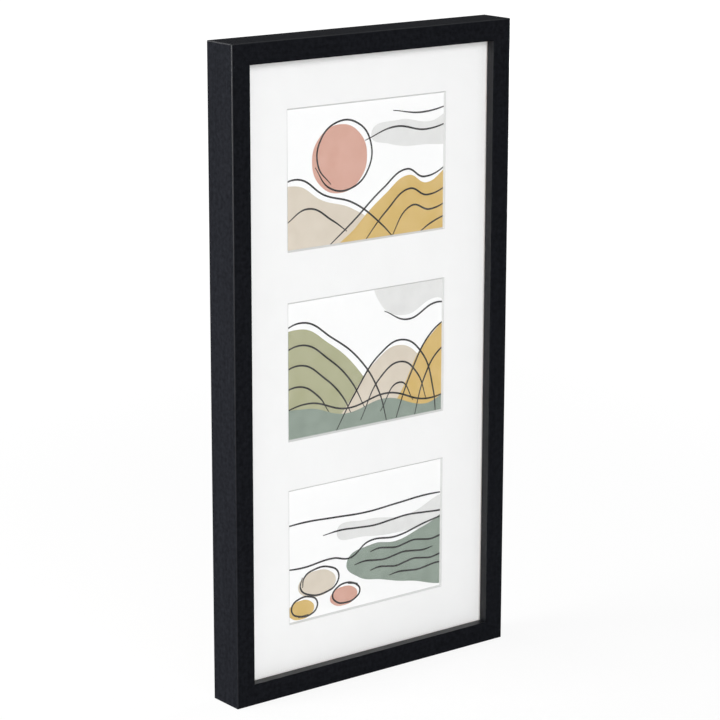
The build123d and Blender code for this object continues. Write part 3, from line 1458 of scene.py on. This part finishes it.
@dataclass
class TurnClips:
    """Clips that turn on rivets in the back board, with their tips in the moulding's groove.

    Each clip's turn is about the Y axis, from pointing right, in degrees.
    """

    tail_radius: float = 6.0 * MM
    tip_radius: float = 4.0 * MM
    reach: float = 15.5 * MM
    hole_radius: float = 1.98 * MM
    edge_round: float = 0.18 * MM
    sides: int = 72
    turns: Sequence[tuple[str, float]] = (
        ("left_upper", 180.0),
        ("left_lower", 180.0),
        ("right_upper", 0.0),
        ("right_lower", 0.0),
        ("top", -90.0),
        ("bottom", 90.0),
    )

    def model(self) -> Piece:
        """Models one clip about the origin, pointing along X, from its hole's and its tail's outlines.

        Returns:
            The clip.
        """
        low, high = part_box("turn_clip_right_upper")
        flat = {"vertices": self.sides, "rotation": STOOD_UP, "location": (0.0, (low.y + high.y) / 2, 0.0)}
        outlines = []
        for radius in (self.hole_radius, self.tail_radius):
            ring = Bench.add("outline", bpy.ops.mesh.primitive_circle_add, radius=radius, **flat)
            Bench.settle(ring)
            outlines.append(ring)
        tail = outlines[-1]
        span = self.reach - self.tip_radius
        lean = (self.tail_radius - self.tip_radius) / span
        with editing(tail):
            Bench.select(tail, Part.VERTS, lambda vert: vert.co.x > lean * self.tail_radius)
            share = self.tip_radius / self.tail_radius
            bpy.ops.transform.resize(value=(share, 1.0, share), center_override=(0.0, 0.0, 0.0))
            bpy.ops.transform.translate(value=(span, 0.0, 0.0))
        clip = Bench.join("clip", outlines)
        with editing(clip):
            bpy.ops.mesh.select_all(action="SELECT")
            bpy.ops.mesh.bridge_edge_loops()
        Bench.thicken(clip, high.y - low.y)
        Bench.deburr(clip, self.edge_round)
        return clip

    def pivots(self) -> list[Vector]:
        """Finds each clip's pivot, back from the middle of its box towards the tail.

        Returns:
            The pivots, in the plane of the frame's middle.
        """
        found = []
        for name, angle in self.turns:
            low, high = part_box(f"turn_clip_{name}")
            middle = (low + high) / 2
            back = (self.tail_radius - self.reach) / 2
            across = middle.x + back * math.cos(math.radians(angle))
            up = middle.z - back * math.sin(math.radians(angle))
            found.append(Vector((across, 0.0, up)))
        return found

    def build(self) -> None:
        """Models a clip once, copies it to each pivot, and sets a rivet in each."""
        pattern = self.model()
        pivots = self.pivots()
        for (name, angle), pivot in zip(self.turns, pivots):
            clip = Bench.copy(pattern, f"clip_{name}")
            Bench.turn(clip, angle, pivot)
            seat_metal(clip, f"turn_clip_{name}", f"turn_clip_{name}")
        bpy.data.objects.remove(pattern)
        Rivets("clip_rivets", shank=1.9 * MM, head=4.2 * MM, dome=0.75 * MM).build(pivots)


@dataclass
class Rivets:
    """A group of rivets through the back board, with low domed heads that are dimpled by the setting tool.

    The crown runs from the head's rim over its dome to the bottom of the dimple, in shares of the head's
    radius and, downwards, of the dome's height.
    """

    node: str
    shank: float
    head: float
    dome: float
    head_height: float = 1.0 * MM
    flare: float = 1.2 * MM
    rim_in: float = 0.1 * MM
    rim_up: float = 0.12 * MM
    crown: Outline = (
        (1.0, 1.0),
        (0.97, 0.62),
        (0.86, 0.30),
        (0.68, 0.08),
        (0.50, 0.0),
        (0.42, 0.04),
        (0.36, 0.50),
        (0.20, 0.66),
    )
    sides: int = 40

    def profile(self) -> Outline:
        """Works out the rings that a rivet is turned from.

        Returns:
            Their radii and depths, from the flared end in the board's front to the head's dimple.
        """
        low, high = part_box(self.node)
        under = high.y - self.head_height
        stem = [(self.shank + self.flare, low.y), (self.shank, low.y + self.flare), (self.shank, under)]
        rim = [(self.head - self.rim_in, under), (self.head, under + self.rim_up)]
        return stem + rim + [(self.head * out, high.y - self.dome * down) for out, down in self.crown]

    def build(self, places: Sequence[Vector]) -> None:
        """Models a rivet once, and copies it to each place.

        Args:
            places: Where the rivets stand, in the plane of the frame's middle.
        """
        pattern = Bench.lathe("rivet", self.profile(), self.sides)
        copies = []
        for place in places:
            rivet = Bench.copy(pattern, "rivet")
            Bench.turn(rivet, 0.0, place)
            copies.append(rivet)
        bpy.data.objects.remove(pattern)
        seat_metal(Bench.join(f"set_{self.node}", copies), BODY, self.node)


@dataclass
class Hangers:
    """Two strap hangers: a strip rolled into an eye, with a D-shaped ring that swings in it."""

    strap_thickness: float = 1.0 * MM
    strap_end_round: float = 4.0 * MM
    strap_end_steps: int = 8
    roll: float = 286.0
    roll_steps: int = 24
    edge_round: float = 0.15 * MM
    rivet_from_end: float = 6.0 * MM
    rivet_hole: float = 1.65 * MM
    drill_sides: int = 40
    drill_depth: float = 8.0 * MM
    wire_radius: float = 1.0 * MM
    wire_sides: int = 20
    corner_radius: float = 2.0 * MM
    corner_steps: int = 8
    bow_steps: int = 32

    def strap(self, side: str) -> Piece:
        """Models a strap: a strip with rounded lower corners, rolled at its top about the eye.

        Args:
            side: The side that it is on.

        Returns:
            The strap, drilled for its rivet.
        """
        low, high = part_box(f"hanger_strap_{side}")
        ring_low, ring_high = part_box(f"hanger_ring_{side}")
        eye = Vector(((low.x + high.x) / 2, (ring_low.y + ring_high.y) / 2, ring_high.z - self.wire_radius))
        flat = low.y + self.strap_thickness / 2
        halfway = (low.z + eye.z) / 2
        strip = Bench.add(f"strap_{side}", bpy.ops.mesh.primitive_plane_add, size=1.0, rotation=STOOD_UP)
        strip.scale = (high.x - low.x, eye.z - low.z, 1.0)
        strip.location = (eye.x, flat, halfway)
        Bench.settle(strip)
        with editing(strip):
            Bench.select(strip, Part.VERTS, lambda vert: vert.co.z < halfway)
            bpy.ops.mesh.bevel(offset=self.strap_end_round, segments=self.strap_end_steps, affect="VERTICES")
            Bench.select(strip, Part.EDGES, lambda edge: all(vert.co.z > halfway for vert in edge.verts))
            self.bend(eye, self.roll, self.roll_steps, (1.0, 0.0, 0.0))
        Bench.clean(strip)
        Bench.thicken(strip, self.strap_thickness)
        Bench.clean(strip)
        drill = {"vertices": self.drill_sides, "radius": self.rivet_hole, "depth": self.drill_depth}
        drill |= {"location": (eye.x, flat, low.z + self.rivet_from_end), "rotation": STOOD_UP}
        Bench.bore(strip, Bench.add("drill", bpy.ops.mesh.primitive_cylinder_add, **drill))
        Bench.deburr(strip, self.edge_round)
        return strip

    def ring(self, side: str) -> Piece:
        """Models a ring: a wire's round section, run along a bar and bent round its corners and its bow.

        Args:
            side: The side that it is on.

        Returns:
            The ring.
        """
        low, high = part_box(f"hanger_ring_{side}")
        middle = (low + high) / 2
        half = (high.x - low.x) / 2 - self.wire_radius
        bar = half - self.corner_radius
        top = high.z - self.wire_radius
        corner = top - self.corner_radius
        bow = low.z + self.wire_radius + half
        section = {"vertices": self.wire_sides, "radius": self.wire_radius}
        section |= {"location": (middle.x - bar, middle.y, top), "rotation": (0.0, math.pi / 2, 0.0)}
        wire = Bench.add(f"ring_{side}", bpy.ops.mesh.primitive_circle_add, **section)
        Bench.settle(wire)
        down = Vector((0.0, 0.0, bow - corner))
        with editing(wire):
            bpy.ops.mesh.select_all(action="SELECT")
            Bench.extrude(Vector((2 * bar, 0.0, 0.0)))
            self.bend((middle.x + bar, middle.y, corner), 90, self.corner_steps, FRONT)
            Bench.extrude(down)
            self.bend((middle.x, middle.y, bow), 180, self.bow_steps, FRONT)
            Bench.extrude(-down)
            self.bend((middle.x - bar, middle.y, corner), 90, self.corner_steps, FRONT)
        Bench.clean(wire)
        return wire

    @staticmethod
    def bend(centre: Sequence[float], angle: float, steps: int, axis: Sequence[float]) -> None:
        """Runs what is selected round a centre, about an axis, by an angle in degrees."""
        bpy.ops.mesh.spin(steps=steps, angle=math.radians(angle), center=centre, axis=axis)

    def build(self) -> None:
        """Models a strap and a ring on each side, and the rivets that hold the straps."""
        places = []
        for side in ("left", "right"):
            seat_metal(self.strap(side), BODY, f"hanger_strap_{side}")
            seat_metal(self.ring(side), f"hanger_ring_{side}", f"hanger_ring_{side}")
            low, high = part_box(f"hanger_strap_{side}")
            places.append(Vector(((low.x + high.x) / 2, 0.0, low.z + self.rivet_from_end)))
        Rivets("hanger_rivets", shank=1.6 * MM, head=3.4 * MM, dome=0.8 * MM).build(places)


@dataclass(frozen=True)
class Lamp:
    """A soft square lamp."""

    name: str
    place: Triple
    size: float
    power: float


@dataclass
class Studio:
    """Camera, lamps, floor and surround."""

    aim: Vector
    lens: float = 134.21
    camera_place: Triple = (-1.28514, -1.63459, 0.77643)
    camera_turn: Triple = (76.0423, -0.1116, -38.0793)
    floor_size: float = 60.0
    fill: float = 0.20
    lamps: tuple[Lamp, ...] = (
        Lamp("front_lamp", (-2.6, -6.8, 2.4), size=5.0, power=490.0),
        Lamp("left_lamp", (-2.6, 0.6, 0.95), size=1.6, power=132.0),
        Lamp("right_lamp", (2.8, 0.6, 0.32), size=0.6, power=90.0),
        Lamp("rear_lamp", (-1.2, 2.9, 0.95), size=1.6, power=50.0),
    )

    def build(self) -> None:
        """Sets up the camera, the lamps, the floor and the surround."""
        scene = bpy.context.scene
        scene.view_settings.view_transform = "Standard"
        turn = [math.radians(angle) for angle in self.camera_turn]
        camera = Bench.add("camera", bpy.ops.object.camera_add, location=self.camera_place, rotation=turn)
        camera.data.lens = self.lens
        scene.camera = camera
        for lamp in self.lamps:
            self.hang(lamp)
        floor = Bench.add("floor", bpy.ops.mesh.primitive_plane_add, size=self.floor_size)
        dress(floor, WhiteFloor())
        self.surround()

    def hang(self, lamp: Lamp) -> None:
        """Hangs one lamp, pointed at the middle of the object.

        Args:
            lamp: Its place, size and power.
        """
        hung = Bench.add(lamp.name, bpy.ops.object.light_add, type="AREA", location=lamp.place)
        hung.data.energy = lamp.power
        hung.data.size = lamp.size
        hung.rotation_euler = (self.aim - hung.location).to_track_quat("-Z", "Y").to_euler()
        hung.visible_camera = False

    def surround(self) -> None:
        """White to the eye, and a dimmer even light on the object."""
        world = bpy.data.worlds.new("surround")
        recipe = Recipe("surround", world)
        white = recipe.node("ShaderNodeBackground", sockets={"Color": WHITE, "Strength": 1.0})
        light = recipe.node("ShaderNodeBackground", sockets={"Color": WHITE, "Strength": self.fill})
        recipe.surface(recipe.either(recipe.seen(), light, white))
        bpy.context.scene.world = world


def main() -> None:
    """Builds the sub-assemblies in order, then the studio."""
    logging.basicConfig(level=logging.INFO, format="%(name)s: %(message)s")
    MouldingSet(Sizes.measured()).build()
    Glazing().build()
    PrintSet().build()
    dress_node("back_board", Fibreboard())
    dress_node("corner_v_nails", NAIL)
    TurnClips().build()
    Hangers().build()
    low, high = CAD_BOX
    Studio((low + high) / 2).build()


if __name__ == "__main__":
    main()
